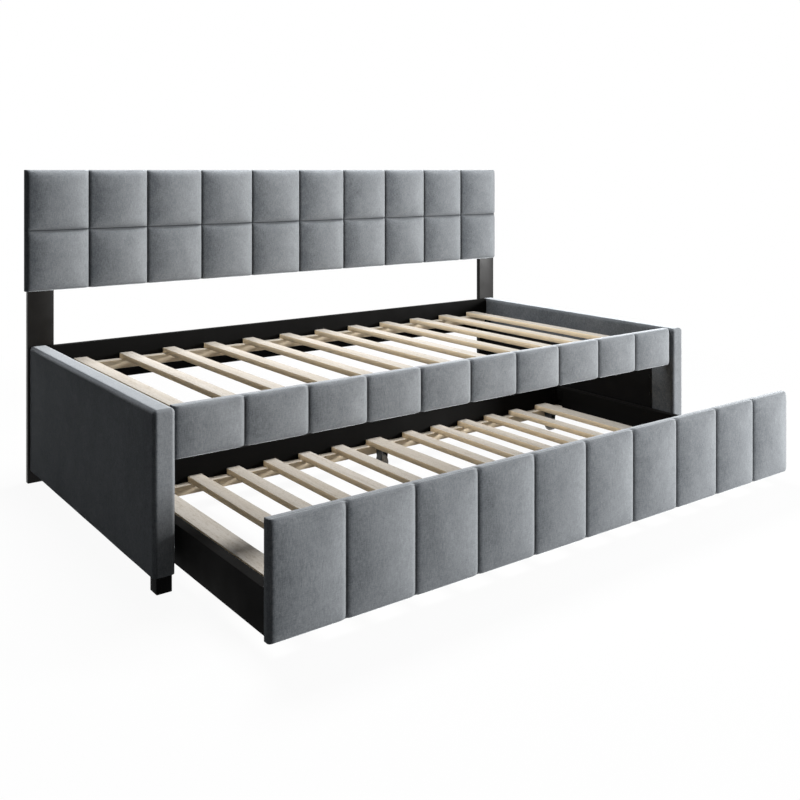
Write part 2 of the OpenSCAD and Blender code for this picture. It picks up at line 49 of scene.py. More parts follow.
COLUMNS = 10          # pads across the headboard, and channels across each front
ROWS = 2              # rows of pads on the headboard
HEADBOARD_PUFF = 0.024  # height of a pad's crown over its seams
CHANNEL_PUFF = 0.013
PAD_DOME = 0.78       # share of that height that is the pad's own swell
START_PUFF = 0.72     # share of its height that a pad has before it is inflated
PRESSURE = 4.0
INFLATE_FRAMES = 20
SEAM_SHADE_REACH = 0.0028   # how far the painted seam shade, near black, spreads from a seam
SEAM_WALL = 0.009     # width of the steep wall that a pad stands up on beside a seam
SEAM_PULL = 0.007     # how far to each side a seam draws the front's long edges in
PAINTED_LIGHT_SLOPE_LIMIT = 0.25      # slope past which a face's painted highlight or painted shade grows no more
WEAVE_SCALE = 430.0   # threads of the velvet's backing, to the metre
PILE_SCALE = 650.0    # tufts of its pile, to the metre
FOAM_FEEL = {"quality": 6, "mass": 0.35, "tension_stiffness": 22, "compression_stiffness": 22,
             "shear_stiffness": 8, "bending_stiffness": 1.2, "air_damping": 2.0, "use_pressure": True,
             "uniform_pressure_force": PRESSURE}

# The three quilted fronts. margins are the cover's thickness at its ends, under and over its board. corner is a
# pad's rounding, roll how far it curves in at its top and bottom, notch how deep the seams bite into the long
# edges, end_roll how far the two ends curve back, and cap the furthest that air moves a point.
QUILTS = [
    dict(name="headboard_velvet", body="daybed", node="headboard_padding", board="headboard_board", fill=0.8,
         rows=ROWS, puff=HEADBOARD_PUFF, per_pad=(26, 24), margins=(10 * MM, 4 * MM, 12 * MM), corner=7 * MM,
         roll=26 * MM, notch=2.5 * MM, sewn_top=False, end_roll=10 * MM, cap=7 * MM),
    dict(name="front_rail_velvet", body="daybed", node="front_rail_padding", board="front_rail_board", fill=0.85,
         rows=1, puff=CHANNEL_PUFF, per_pad=(24, 20), margins=(1.5 * MM, 4 * MM, 4 * MM), corner=14 * MM,
         roll=22 * MM, notch=3 * MM, sewn_top=True, end_roll=5 * MM, cap=4 * MM),
    dict(name="trundle_front_velvet", body="trundle", node="trundle_front_padding", board="trundle_front_board",
         fill=0.85, rows=1, puff=CHANNEL_PUFF, per_pad=(24, 30), margins=(4 * MM, 4 * MM, 4 * MM), corner=16 * MM,
         roll=26 * MM, notch=3 * MM, sewn_top=True, end_roll=8 * MM, cap=4 * MM),
]
PANEL_ROUND = 12 * MM  # rounding of the side panels' foam
STAPLE_SPACING, STAPLE_INSET = 0.065, 9 * MM

# Softboxes: where each stands and what it points at, its size and its watts
SOFTBOXES = {
    "key_softbox": ((4.2, -4.0, 1.1), (-0.1, -0.3, 0.45), (1.5, 1.2), 640),
    "top_softbox": ((-0.15, 0.72, 2.8), (-0.1, 0.2, 0.2), (1.5, 0.9), 103),
    "front_softbox": ((-0.6, -4.2, 1.6), (0.0, 0.0, 0.4), (2.4, 1.6), 8),
}
ROOM_LIGHT = 0.05
CAMERA_AT, CAMERA_HEADING = (-1.9111, -2.4894, 1.0289), -36.68
CAMERA_SENSOR, CAMERA_LENS, CAMERA_SHIFT = 36.0, 42.84, -0.2876

# ---- node helpers


def feed(tree, node, sockets):
    """Links or sets a node's input sockets."""
    for key, value in sockets.items():
        if isinstance(value, bpy.types.NodeSocket):
            tree.links.new(value, node.inputs[key])
        else:
            node.inputs[key].default_value = value


def wire(tree, kind, sockets=None, **settings):
    """Adds a node, sets its options, then its input sockets."""
    made = tree.nodes.new(kind)
    for key, value in settings.items():
        setattr(made, key, value)
    feed(tree, made, sockets or {})
    return made


def live(sockets, name="Value"):
    """The socket of that name that the node's data type uses."""
    return next(socket for socket in sockets if socket.name == name and socket.enabled)


def math_node(tree, operation, a, b=0.0, clamp=False):
    return wire(tree, "ShaderNodeMath", {0: a, 1: b}, operation=operation, use_clamp=clamp).outputs[0]


def vector_math(tree, operation, a, b):
    return wire(tree, "ShaderNodeVectorMath", {0: a, 1: b}, operation=operation).outputs[0]


def blend_colour(tree, factor, a, b):
    return wire(tree, "ShaderNodeMix", {0: factor, 6: a, 7: b}, data_type="RGBA", clamp_factor=True).outputs[2]


def remap(tree, value, low, high, to_low=0.0, to_high=1.0):
    """The value taken from the range low..high to the range to_low..to_high, clamped."""
    return wire(tree, "ShaderNodeMapRange", {"Value": value, "From Min": low, "From Max": high,
                                             "To Min": to_low, "To Max": to_high}).outputs[0]


def noise(tree, vector, scale, detail=2.0, roughness=0.5, distortion=0.0):
    return wire(tree, "ShaderNodeTexNoise", {"Vector": vector, "Scale": scale, "Detail": detail,
                                             "Roughness": roughness, "Distortion": distortion}).outputs["Fac"]


def times(tree, a, b, clamp=False):
    return math_node(tree, "MULTIPLY", a, b, clamp)


def plus(tree, a, b, clamp=False):
    return math_node(tree, "ADD", a, b, clamp)


def mixed(tree, a, share_a, b, share_b):
    """The weighted sum of two values."""
    return plus(tree, times(tree, a, share_a), times(tree, b, share_b))


def about_zero(tree, value, amount):
    """A noise value spread evenly about zero, times an amount."""
    return times(tree, math_node(tree, "SUBTRACT", value, 0.5), amount)


def face_normal(tree):
    """The parts of the direction that the surface faces."""
    return wire(tree, "ShaderNodeSeparateXYZ", {0: wire(tree, "ShaderNodeNewGeometry").outputs["Normal"]}).outputs


def stretched(tree, vector, scale):
    return wire(tree, "ShaderNodeMapping", {"Vector": vector, "Scale": scale}).outputs[0]


def group(kind, name, inputs, outputs):
    """An empty node group with named sockets: the group, its input sockets and its output node."""
    tree = bpy.data.node_groups.new(name, kind)
    for label, socket_type, *value in inputs:
        socket = tree.interface.new_socket(label, in_out="INPUT", socket_type=socket_type)
        if value:
            socket.default_value = value[0]
    for label, socket_type in outputs:
        tree.interface.new_socket(label, in_out="OUTPUT", socket_type=socket_type)
    return tree, tree.nodes.new("NodeGroupInput").outputs, tree.nodes.new("NodeGroupOutput")


def rgb(r, g, b):
    return (r, g, b, 1.0)


FLOAT, COLOUR, VECTOR, COUNT = "NodeSocketFloat", "NodeSocketColor", "NodeSocketVector", "NodeSocketInt"
SHAPE, OBJECT, MATERIAL = "NodeSocketGeometry", "NodeSocketObject", "NodeSocketMaterial"
SURFACE = [("Color", COLOUR), ("Roughness", FLOAT), ("Height", FLOAT)]  # what each finish's effect puts out


# ---- shared effects


def pile_group():
    """Velvet: cloudy patches where the nap is brushed, a fine weave under it, and the pile's own speckle.

    Slopes that face right (+X) are painted lighter and slopes that face left painted darker, a painted highlight
    and painted shade as from a lamp on the right; one input sets how much. Another input is 1 in a sewn groove,
    which is painted near black there as painted shade."""
    tree, given, out = group("ShaderNodeTree", "Velvet pile", [
        ("Vector", VECTOR), ("Deep", COLOUR, rgb(0.1, 0.1, 0.1)), ("Lit", COLOUR, rgb(0.5, 0.5, 0.5)),
        ("Patches", FLOAT, 0.4), ("Fine", FLOAT, 0.3), ("Nap", FLOAT, 0.5), ("Seam", FLOAT, 0.0)], SURFACE)
    place = given["Vector"]
    broad = noise(tree, place, 5.0, 2.0, 0.5, 0.4)
    clouds = noise(tree, place, 26.0, 3.0, 0.55, 0.8)
    upright = noise(tree, stretched(tree, place, (1.0, 1.0, 0.2)), WEAVE_SCALE, 2.0, 0.6)
    level_threads = noise(tree, stretched(tree, place, (0.25, 0.25, 1.0)), WEAVE_SCALE, 2.0, 0.6)
    speckle = noise(tree, place, PILE_SCALE, 2.0, 0.7)
    patches = mixed(tree, broad, 0.5, clouds, 0.5)
    weave = mixed(tree, upright, 0.6, level_threads, 0.4)
    fine = mixed(tree, weave, 0.6, speckle, 0.4)
    level = plus(tree, about_zero(tree, patches, given["Patches"]), about_zero(tree, fine, given["Fine"]))
    # Painted highlight and painted shade: the face's X slope lightens faces turned right and darkens faces turned
    # left
    slope = math_node(tree, "MINIMUM", face_normal(tree)["X"], PAINTED_LIGHT_SLOPE_LIMIT)
    painted_slope_light = times(tree, math_node(tree, "MAXIMUM", slope, -PAINTED_LIGHT_SLOPE_LIMIT), given["Nap"])
    level = plus(tree, plus(tree, level, painted_slope_light), 0.5, clamp=True)
    pile = blend_colour(tree, level, given["Deep"], given["Lit"])
    # Painted shade: the sewn grooves are painted near black
    feed(tree, out, {"Color": blend_colour(tree, given["Seam"], pile, rgb(0.012, 0.013, 0.015)),
                     "Roughness": remap(tree, level, 0.2, 0.8, 0.92, 0.72),
                     "Height": mixed(tree, speckle, 0.5, weave, 0.5)})
    return tree


def grain_group():
    """Sawn timber: growth bands, fibres and short pores that run along Vector's own Y.

    Piece, from 0 to 1, moves the pattern and shifts the tone from one plank to the next."""
    tree, given, out = group("ShaderNodeTree", "Timber grain", [
        ("Vector", VECTOR), ("Piece", FLOAT, 0.0), ("Pale", COLOUR, rgb(0.7, 0.6, 0.45)),
        ("Dark", COLOUR, rgb(0.4, 0.3, 0.2)), ("Contrast", FLOAT, 0.5)], SURFACE)
    jump = wire(tree, "ShaderNodeCombineXYZ", {axis: times(tree, given["Piece"], far)
                                               for axis, far in (("X", 37.0), ("Y", 91.0), ("Z", 13.0))})
    place = vector_math(tree, "ADD", given["Vector"], jump.outputs[0])
    bands = noise(tree, stretched(tree, place, (1.0, 0.055, 1.0)), 62.0, 4.0, 0.5, 1.4)
    fibres = noise(tree, stretched(tree, place, (1.0, 0.03, 1.0)), 520.0, 3.0, 0.65)
    pores = noise(tree, stretched(tree, place, (1.0, 0.22, 1.0)), 330.0, 2.0, 0.6)
    knots = noise(tree, stretched(tree, place, (1.0, 0.45, 1.0)), 9.0, 2.0, 0.5, 0.8)
    pore_mask = remap(tree, pores, 0.54, 0.68)
    level = mixed(tree, remap(tree, bands, 0.42, 0.62), 0.22, fibres, 0.35)
    level = plus(tree, level, times(tree, pore_mask, 0.42))
    level = plus(tree, level, remap(tree, knots, 0.66, 0.80, 0.0, 0.35))
    colour = blend_colour(tree, times(tree, level, given["Contrast"], clamp=True), given["Pale"], given["Dark"])
    tone = plus(tree, about_zero(tree, given["Piece"], 0.30), 0.2, clamp=True)
    feed(tree, out, {"Color": blend_colour(tree, tone, colour, given["Dark"]),
                     "Roughness": remap(tree, level, 0.0, 1.0, 0.62, 0.82),
                     "Height": math_node(tree, "SUBTRACT", times(tree, fibres, 0.5), pore_mask)})
    return tree


def wear_group():
    """Rubbed edges: a mask that is 1 on sharp edges, broken up where the finish still holds."""
    tree, given, out = group("ShaderNodeTree", "Edge wear", [
        ("Vector", VECTOR), ("Radius", FLOAT, 0.002), ("Breakup", FLOAT, 60.0)], [("Mask", FLOAT)])
    round_normal = wire(tree, "ShaderNodeBevel", {"Radius": given["Radius"]}, samples=4).outputs[0]
    flat_normal = wire(tree, "ShaderNodeNewGeometry").outputs["Normal"]
    facing = wire(tree, "ShaderNodeVectorMath", {0: round_normal, 1: flat_normal}, operation="DOT_PRODUCT")
    edge = remap(tree, facing.outputs["Value"], 0.995, 0.90)
    worn = remap(tree, noise(tree, given["Vector"], given["Breakup"], 4.0, 0.6), 0.46, 0.62)
    feed(tree, out, {"Mask": times(tree, edge, worn)})
    return tree


def mottle_group():
    """Handled surface: slow drift of tone, fine scuffs, and dust that lies on what faces up."""
    tree, given, out = group("ShaderNodeTree", "Mottle and dust", [
        ("Vector", VECTOR), ("Base", COLOUR, rgb(0.1, 0.1, 0.1)), ("Scale", FLOAT, 12.0), ("Amount", FLOAT, 0.2),
        ("Dust", FLOAT, 0.1)], SURFACE)
    drift = noise(tree, given["Vector"], given["Scale"], 4.0, 0.6)
    fine = noise(tree, given["Vector"], 800.0, 2.0, 0.6)
    lift = times(tree, plus(tree, drift, times(tree, fine, 0.4)), given["Amount"])
    lifted = blend_colour(tree, lift, given["Base"], rgb(0.5, 0.49, 0.47))
    lying = times(tree, remap(tree, face_normal(tree)["Z"], 0.5, 1.0), given["Dust"])
    lying = times(tree, lying, remap(tree, fine, 0.35, 0.65, 0.4, 1.0))
    feed(tree, out, {"Color": blend_colour(tree, lying, lifted, rgb(0.45, 0.43, 0.40)),
                     "Roughness": remap(tree, drift, 0.3, 0.7, 0.38, 0.58),
                     "Height": plus(tree, fine, times(tree, drift, 0.3))})
    return tree


PILE, GRAIN, WEAR, MOTTLE = pile_group(), grain_group(), wear_group(), mottle_group()

# ---- finishes


def new_material(name):
    """A material with its tree, its Principled shader and the piece's own coordinates."""
    material = bpy.data.materials.new(name)
    material.use_nodes = True
    tree = material.node_tree
    return material, tree, tree.nodes["Principled BSDF"], wire(tree, "ShaderNodeTexCoord").outputs["Object"]


def effect(tree, kind, sockets):
    return wire(tree, "ShaderNodeGroup", sockets, node_tree=kind).outputs


def bump(tree, height, depth, strength):
    return wire(tree, "ShaderNodeBump", {"Height": height, "Strength": strength, "Distance": depth}).outputs[0]


def velvet():
    material, tree, shader, place = new_material("Slate grey velvet")
    # Painted light and shade: the mask stored on the sewn grooves paints them near black, and the slope input
    # paints light on right-facing slopes and shade on left-facing ones
    seam = wire(tree, "ShaderNodeAttribute", attribute_name="seam").outputs["Fac"]
    pile = effect(tree, PILE, {"Vector": place, "Deep": rgb(0.066, 0.073, 0.082), "Lit": rgb(0.255, 0.269, 0.281),
                               "Patches": 0.6, "Fine": 1.7, "Nap": 1.3, "Seam": seam})
    feed(tree, shader, {"Base Color": pile["Color"], "Roughness": pile["Roughness"], "Specular IOR Level": 0.12,
                        "Sheen Weight": 1.0, "Sheen Roughness": 0.3, "Sheen Tint": rgb(0.80, 0.84, 0.88),
                        "Normal": bump(tree, pile["Height"], 0.6 * MM, 0.35)})
    return material


def timber(name, pale, dark, contrast, along, sides=None, piece_name=None):
    """Unfinished softwood. along is the grain's axis, X or Y, and sides the colour of its faces that don't face up
    or down, if any: the tan of sawn wood, made lighter than the tops as painted fill light on those sides.
    """
    material, tree, shader, place = new_material(name)
    turned = place
    if along == "X":
        parts = wire(tree, "ShaderNodeSeparateXYZ", {0: place}).outputs
        turned = wire(tree, "ShaderNodeCombineXYZ", {"X": parts["Y"], "Y": parts["X"], "Z": parts["Z"]}).outputs[0]
    piece = 0.5
    if piece_name:
        piece = wire(tree, "ShaderNodeAttribute", attribute_name=piece_name).outputs["Fac"]
    grain = effect(tree, GRAIN, {"Vector": turned, "Piece": piece, "Pale": pale, "Dark": dark,
                                 "Contrast": contrast})
    cut = grain["Color"]
    if sides:
        # Partly the tan of sawn wood and partly painted fill light: faces that don't face up or down take the
        # lighter sides colour
        sawn = remap(tree, math_node(tree, "ABSOLUTE", face_normal(tree)["Z"]), 0.9, 0.5, 0.0, 0.85)
        cut = blend_colour(tree, sawn, cut, sides)
    rub = effect(tree, WEAR, {"Vector": place, "Radius": 1.5 * MM, "Breakup": 90.0})["Mask"]
    feed(tree, shader, {"Base Color": blend_colour(tree, times(tree, rub, 0.35), cut, rgb(0.72, 0.66, 0.57)),
                        "Roughness": grain["Roughness"], "Specular IOR Level": 0.3,
                        "Normal": bump(tree, grain["Height"], 0.4 * MM, 0.5)})
    return material


def mottled(name, base, scale, amount, dust, coat, worn_to=None, gloss_drop=0.0, shine=0.5, metallic=0.0):
    """Paint, plating or rubber, mottled and dusty. coat is the depth and the strength of its fine orange peel,
    and worn_to the colour that shows at its rubbed edges, if any."""
    material, tree, shader, place = new_material(name)
    skin = effect(tree, MOTTLE, {"Vector": place, "Base": base, "Scale": scale, "Amount": amount, "Dust": dust})
    colour = skin["Color"]
    if worn_to:
        rub = effect(tree, WEAR, {"Vector": place, "Radius": 1.2 * MM, "Breakup": 45.0})["Mask"]
        colour = blend_colour(tree, times(tree, rub, 0.5), colour, worn_to)
    feed(tree, shader, {"Base Color": colour, "Metallic": metallic, "Specular IOR Level": shine,
                        "Roughness": plus(tree, skin["Roughness"], gloss_drop),
                        "Normal": bump(tree, skin["Height"], *coat)})
    return material


def painted(name, base, worn_to, dust, shine, gloss_drop):
    return mottled(name, base, 9.0, 0.004, dust, (0.25 * MM, 0.35), worn_to, gloss_drop, shine)


def lining_cloth():
    """Black spun-bonded dust cloth: a grid of small pressed dots."""
    material, tree, shader, place = new_material("Black dust cloth")
    skin = effect(tree, MOTTLE, {"Vector": place, "Base": rgb(0.006, 0.006, 0.0065), "Scale": 22.0,
                                 "Amount": 0.012, "Dust": 0.02})
    dots = wire(tree, "ShaderNodeTexVoronoi", {"Vector": place, "Scale": 420.0, "Randomness": 0.15})
    pressed = remap(tree, dots.outputs["Distance"], 0.2, 0.45)
    feed(tree, shader, {"Base Color": blend_colour(tree, pressed, rgb(0.011, 0.011, 0.012), skin["Color"]),
                        "Roughness": 0.92, "Specular IOR Level": 0.03,
                        "Normal": bump(tree, pressed, 0.3 * MM, 0.4)})
    return material


VELVET = velvet()
# The sides colours are tan sawn wood, made lighter than the tops as painted fill light on the dim sides
SLAT_PINE = timber("Slat pine", rgb(0.61, 0.58, 0.54), rgb(0.34, 0.29, 0.22), 1.0, "Y",
                   sides=rgb(0.95, 0.78, 0.54), piece_name="piece")
LEDGER_PINE = timber("Ledger pine", rgb(0.62, 0.57, 0.50), rgb(0.40, 0.34, 0.25), 0.18, "X",
                     sides=rgb(0.93, 0.78, 0.57))
PLYWOOD = timber("Plywood", rgb(0.46, 0.37, 0.27), rgb(0.25, 0.18, 0.11), 0.9, "X")
WORN_BLACK = rgb(0.035, 0.032, 0.028)
BLACK_PAINT = painted("Black painted board", rgb(0.0028, 0.0027, 0.0026), WORN_BLACK, 0.004, 0.03, 0.2)
BLACK_SATIN = painted("Black satin board", rgb(0.0042, 0.0036, 0.0030), WORN_BLACK, 0.003, 0.12, -0.1)
BLACK_STEEL = painted("Black powder-coated steel", rgb(0.012, 0.012, 0.0125), rgb(0.16, 0.155, 0.15), 0.05, 0.28,
                      -0.06)
ZINC = mottled("Zinc plate", rgb(0.62, 0.60, 0.55), 140.0, 0.18, 0.08, (0.1 * MM, 0.3), gloss_drop=-0.10,
               metallic=1.0)
DUST_CLOTH = lining_cloth()
WHEEL_GREY = mottled("Grey wheel rubber", rgb(0.36, 0.34, 0.335), 60.0, 0.25, 0.25, (0.2 * MM, 0.4))

# ---- mesh helpers


def linked(name, data):
    """A new object in the scene, for a mesh, a lamp or a camera."""
    made = bpy.data.objects.new(name, data)
    SCENE.collection.objects.link(made)
    return made


def new_piece(name, points, faces, material, smooth=True):
    mesh = bpy.data.meshes.new(name)
    mesh.from_pydata([tuple(map(float, p)) for p in points], [], faces)
    mesh.validate()
    mesh.materials.append(material)
    mesh.polygons.foreach_set("use_smooth", [smooth] * len(mesh.polygons))
    return linked(name, mesh)


def corners(piece):
    """A mesh's vertices as an array of rows x, y, z."""
    flat = np.empty(len(piece.data.vertices) * 3)
    piece.data.vertices.foreach_get("co", flat)
    return flat.reshape(-1, 3)


def set_corners(piece, points):
    piece.data.vertices.foreach_set("co", points.astype(np.float32).ravel())
    piece.data.update()


def ripple(points, size, seed, waves=14):
    """A smooth wandering value for each point, about -1 to 1, with features of that size."""
    rng = np.random.RandomState(seed)
    aims = rng.normal(size=(waves, 3))
    aims /= np.linalg.norm(aims, axis=1)[:, None]
    rates = 2.0 * math.pi / (size * rng.uniform(0.7, 1.8, waves))
    turns = rng.uniform(0.0, 2.0 * math.pi, waves)
    return np.sin(points @ (aims * rates[:, None]).T + turns).sum(axis=1) / math.sqrt(waves * 2.0)


def dress(piece, body, nodes):
    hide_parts(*nodes)
    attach(piece, body)


def belt(first, second):
    """The four-sided faces between two closed rings of points."""
    return list(zip(first, second, second[1:] + second[:1], first[1:] + first[:1]))


def axis_lines(lo, hi, first, last, cells, arc):
    """Grid lines along one side of a soft block: an arc's worth at each rounded end, even ones between."""
    steps = [math.tan(math.radians(45.0 * k / arc)) for k in range(arc, 0, -1)]
    start = [first - (first - lo) * step for step in steps] if first > lo else []
    end = [last + (hi - last) * step for step in reversed(steps)] if hi > last else []
    return start + list(np.linspace(first, last, cells + 1)) + end


def soft_block(name, lo, hi, radius, material, cells=(1, 1, 1), arc=2, square=""):
    """A closed block of quads with rounded edges. square names sides that stay flat to their edges, as in '+y'."""
    inner_lo = [lo[a] + (0.0 if f"-{'xyz'[a]}" in square else radius) for a in range(3)]
    inner_hi = [hi[a] - (0.0 if f"+{'xyz'[a]}" in square else radius) for a in range(3)]
    lines = [axis_lines(lo[a], hi[a], inner_lo[a], inner_hi[a], cells[a], arc) for a in range(3)]
    counts = [len(line) for line in lines]
    index, points, faces = {}, [], []

    def vertex(key):
        if key not in index:
            index[key] = len(points)
            points.append([lines[a][key[a]] for a in range(3)])
        return index[key]

    for a in range(3):
        b, c = (a + 1) % 3, (a + 2) % 3
        for end in (0, counts[a] - 1):
            for i in range(counts[b] - 1):
                for j in range(counts[c] - 1):
                    ring = []
                    for di, dj in ((0, 0), (1, 0), (1, 1), (0, 1)):
                        key = [0, 0, 0]
                        key[a], key[b], key[c] = end, i + di, j + dj
                        ring.append(vertex(tuple(key)))
                    faces.append(ring if end else ring[::-1])
    points = np.array(points)
    core = np.clip(points, inner_lo, inner_hi)
    away = points - core
    length = np.linalg.norm(away, axis=1)
    outside = length > 1e-9
    points[outside] = core[outside] + away[outside] / length[outside, None] * radius
    return new_piece(name, points, faces, material)


# ---- padded fronts


def pad_lines(seams, cells):
    """Grid lines across a row of pads, crowded towards each pad's seams, where it curves most."""
    t = np.linspace(0.0, 1.0, cells + 1)
    share = 0.2 * t + 0.8 * (0.5 - 0.5 * np.cos(np.pi * t))
    return np.unique(np.concatenate([a + (b - a) * share for a, b in zip(seams[:-1], seams[1:])]).round(6))


def pad_height(x, z, lo, hi, rows, corner, roll):
    """Height of the quilted face, 0 at the seams and 1 at a pad's crown, and the distance inside a pad's outline.

    A pad stands up on a steep wall at its seams and then swells: evenly from side to side, and over roll at its
    top and bottom."""
    width, height = (hi.x - lo.x) / COLUMNS, (hi.z - lo.z) / rows
    u = np.abs((x - lo.x) % width - width / 2)
    v = np.abs((z - lo.z) % height - height / 2)
    u = np.where(np.isclose(x, hi.x), width / 2, u)
    v = np.where(np.isclose(z, hi.z), height / 2, v)
    over_u, over_v = u - (width / 2 - corner), v - (height / 2 - corner)
    inside = corner - np.hypot(np.maximum(over_u, 0), np.maximum(over_v, 0))
    inside -= np.minimum(np.maximum(over_u, over_v), 0)
    wall = np.clip(inside / SEAM_WALL, 0.0, 1.0)
    wall = np.sqrt(1.0 - (1.0 - wall) ** 2)
    end = np.clip((height / 2 - v) / roll, 0.0, 1.0)
    across = 2 * u / width
    swell = 0.6 * (1.0 - across ** 2) + 0.4 * np.sqrt(1.0 - across ** 4)
    swell *= np.sqrt(1.0 - (1.0 - end) ** 2) * (1.0 - 0.2 * (2 * v / height) ** 2)
    return wall * (1.0 - PAD_DOME + PAD_DOME * swell), inside


def quilted(quilt, lo, hi, valley, pocket):
    """A padded front in one skin: the quilted face, the sides wrapped round the board, and the pocket it sits in.

    valley and pocket are the Y of the seams and of the board's front face. Returns the piece and how firmly each
    of its points is held while it is inflated."""
    seams_x, seams_z = np.linspace(lo.x, hi.x, COLUMNS + 1), np.linspace(lo.z, hi.z, quilt["rows"] + 1)
    xs, zs = pad_lines(seams_x, quilt["per_pad"][0]), pad_lines(seams_z, quilt["per_pad"][1])
    gx, gz = np.meshgrid(xs, zs, indexing="ij")
    gx, gz = gx.ravel(), gz.ravel()
    rise, inside = pad_height(gx, gz, lo, hi, quilt["rows"], quilt["corner"], quilt["roll"])
    from_end = np.clip(1.0 - np.minimum(gx - lo.x, hi.x - gx) / quilt["end_roll"], 0.0, 1.0)
    curl = quilt["end_roll"] * (1.0 - np.sqrt(1.0 - from_end ** 2))
    face = np.stack([gx, valley - quilt["puff"] * START_PUFF * rise + curl, gz], axis=1)
    grid = np.arange(len(face)).reshape(len(xs), len(zs))
    faces = np.stack([grid[:-1, :-1], grid[1:, :-1], grid[1:, 1:], grid[:-1, 1:]], axis=-1).reshape(-1, 4).tolist()
    rim = np.concatenate([grid[:, 0], grid[-1, 1:], grid[-2::-1, -1], grid[0, -2:0:-1]]).tolist()
    count, start = len(rim), len(face)

    # The sides: rings that run back from the face's rim, pinched in where the seams end
    seam_x = seams_x[1:-1]
    loop = face[rim].copy()
    near = np.exp(-(np.abs(loop[:, :1] - seam_x).min(axis=1) / SEAM_PULL) ** 2)
    upper, lower = np.isclose(loop[:, 2], hi.z), np.isclose(loop[:, 2], lo.z)
    side = np.where(upper, -1.0, np.where(lower, 1.0, 0.0))
    face[rim, 2] += side * near * quilt["notch"]
    points, last = [face], rim
    steps = [0.1, 0.25, 0.45, 0.65, 0.85, 0.96]
    seam_at = (pocket - valley) / (hi.y - valley)
    if quilt["sewn_top"]:
        steps = sorted(steps + [seam_at - 0.05, seam_at, seam_at + 0.05])
    rings = []
    for t in steps:
        ring = loop.copy()
        ring[:, 1] = loop[:, 1] + (hi.y - loop[:, 1]) * t
        ring[:, 2] += side * near * quilt["notch"] * max(0.0, 1.0 - t * 1.8)
        if quilt["sewn_top"] and t == seam_at:
            ring[upper, 2] -= 1.2 * MM
        rings.append(ring)
    end_margin, under, over = quilt["margins"]
    middle = (lo.x + hi.x) / 2

    def drawn_in(spots, inset, y):
        """Points moved in by a share of the margins, to a depth of y."""
        low, high = lo.z + under * inset, hi.z - over * inset
        moved = spots.copy()
        moved[:, 0] = middle + (spots[:, 0] - middle) * (1.0 - end_margin * inset / (hi.x - middle))
        moved[:, 1] = y
        moved[:, 2] = low + (spots[:, 2] - lo.z) * (high - low) / (hi.z - lo.z)
        return moved

    eased = hi.y - 0.3 * MM
    rings += [drawn_in(loop, inset, y) for inset, y in (
        (0.12, eased), (0.5, hi.y), (1.0, eased), (1.0, pocket + MM), (1.0, pocket))]
    for ring in rings:
        here = list(range(start, start + count))
        faces += belt(last, here)
        points.append(ring)
        last, start = here, start + count
    # The pocket's floor repeats the front's grid, so that every face of the skin has four sides
    floor_at = dict(zip(rim, last))
    inner = [k for k in range(len(face)) if k not in floor_at]
    floor_at.update({k: start + n for n, k in enumerate(inner)})
    points.append(drawn_in(face[inner], 1.0, pocket))
    faces += [tuple(floor_at[k] for k in reversed(quad)) for quad in faces[:(len(xs) - 1) * (len(zs) - 1)]]
    start += len(inner)
    piece = new_piece(quilt["name"], np.concatenate(points), faces, VELVET)
    to_seam = np.abs(gx[:, None] - seam_x).min(axis=1)
    for z in seams_z[1:-1]:
        to_seam = np.minimum(to_seam, np.abs(gz - z))
    # A mask for painted shade: 1 on a seam, fading to 0 a few millimetres away
    seam_shade_mask = np.zeros(start)
    seam_shade_mask[:len(face)] = np.clip(1.0 - to_seam / SEAM_SHADE_REACH, 0.0, 1.0)
    marks = piece.data.attributes.new("seam", "FLOAT", "POINT")
    marks.data.foreach_set("value", seam_shade_mask.astype(np.float32))
    held = np.ones(start)
    held[:len(face)] = 1.0 - np.clip((inside - 2.5 * MM) / (22 * MM), 0.0, 1.0) ** 0.7
    return piece, held


def inflate(soft):
    """Fills the padded pieces with air for a moment, held at their seams, and keeps the settled shape.

    soft holds, for each piece, how firmly each point is held and the furthest that a point may move."""
    for piece, held, _ in soft:
        levels = held.round(2)
        pins = piece.vertex_groups.new(name="held")
        for level in np.unique(levels):
            pins.add([int(k) for k in np.flatnonzero(levels == level)], float(level), "REPLACE")
        cloth = piece.modifiers.new("air", "CLOTH")
        for key, value in FOAM_FEEL.items():
            setattr(cloth.settings, key, value)
        cloth.settings.vertex_group_mass = "held"
        cloth.settings.effector_weights.gravity = 0.0
        cloth.collision_settings.use_collision = False
    for step in range(1, INFLATE_FRAMES + 1):
        SCENE.frame_set(step)
    graph = bpy.context.evaluated_depsgraph_get()
    for piece, held, cap in soft:
        shown = piece.evaluated_get(graph)
        settled = np.empty(len(shown.data.vertices) * 3)
        shown.data.vertices.foreach_get("co", settled)
        rest = corners(piece)
        moved = (settled.reshape(-1, 3) - rest) * (1.0 - held)[:, None]
        length = np.linalg.norm(moved, axis=1)
        went = length > 0
        moved[went] *= (cap * np.tanh(length[went] / cap) / length[went])[:, None]
        piece.modifiers.clear()
        set_corners(piece, rest + moved)
    SCENE.frame_set(1)


def settle_front(piece, crown, valley):
    """Brings the inflated face to its full height, with the slow unevenness of hand-stuffed foam."""
    points = corners(piece)
    proud = valley - points[:, 1]
    raised = proud > 0
    points[raised, 1] = valley - proud[raised] * (valley - crown) / proud.max()
    share = np.where(raised, proud / proud.max(), 0.0)
    lumps = 0.55 * MM * (ripple(points, 0.11, 5) - 1.0) + 0.22 * MM * (ripple(points, 0.035, 9) - 1.0)
    points[:, 1] += share * lumps
    set_corners(piece, points)


def smooth_skin(piece):
    skin = piece.modifiers.new("skin", "SUBSURF")
    skin.levels = skin.render_levels = 1
    piece.data.update()


